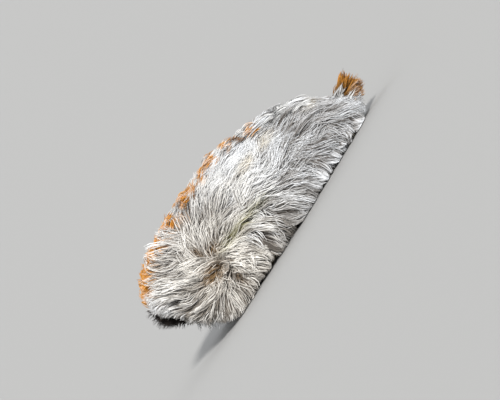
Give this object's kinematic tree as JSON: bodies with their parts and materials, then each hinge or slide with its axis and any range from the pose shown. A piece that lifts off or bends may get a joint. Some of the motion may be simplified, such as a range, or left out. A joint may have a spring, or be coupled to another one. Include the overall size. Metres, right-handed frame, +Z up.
{
  "type": "southern flannel moth larva",
  "caption": "Life-size furry larva of the southern flannel moth: silver-white combed coat, rust crest and tail tuft, resting on its prolegs as a still display model.",
  "frame": {"origin": "on the floor under the middle of the animal", "axes": "+X from the head to the tail, +Y to the animal's right, +Z up; the left side, which faces -Y, is the one the picture shows"},
  "size_m": [0.0317, 0.0142, 0.0114],
  "materials": {
    "silver_coat": "long silky hair",
    "rust_tuft": "long silky hair",
    "dark_fringe": "short velvety hair",
    "head_capsule": "smooth hard shell",
    "leg_shell": "smooth shell",
    "pale_skin": "soft skin"
  },
  "bodies": {
    "root": {"thorax": "silver_coat", "abdomen_front": "silver_coat", "abdomen_middle": "silver_coat", "abdomen_rear": "silver_coat", "face_fringe": "dark_fringe", "tail_tuft": "rust_tuft", "head": "head_capsule", "antenna_left": "head_capsule", "antenna_right": "head_capsule", "leg_left_1": "leg_shell", "leg_left_2": "leg_shell", "leg_left_3": "leg_shell", "leg_right_1": "leg_shell", "leg_right_2": "leg_shell", "leg_right_3": "leg_shell", "proleg_left_1": "pale_skin", "proleg_left_2": "pale_skin", "proleg_left_3": "pale_skin", "proleg_left_4": "pale_skin", "proleg_left_5": "pale_skin", "proleg_left_6": "pale_skin", "proleg_left_7": "pale_skin", "proleg_right_1": "pale_skin", "proleg_right_2": "pale_skin", "proleg_right_3": "pale_skin", "proleg_right_4": "pale_skin", "proleg_right_5": "pale_skin", "proleg_right_6": "pale_skin", "proleg_right_7": "pale_skin"}
  },
  "joints": []
}
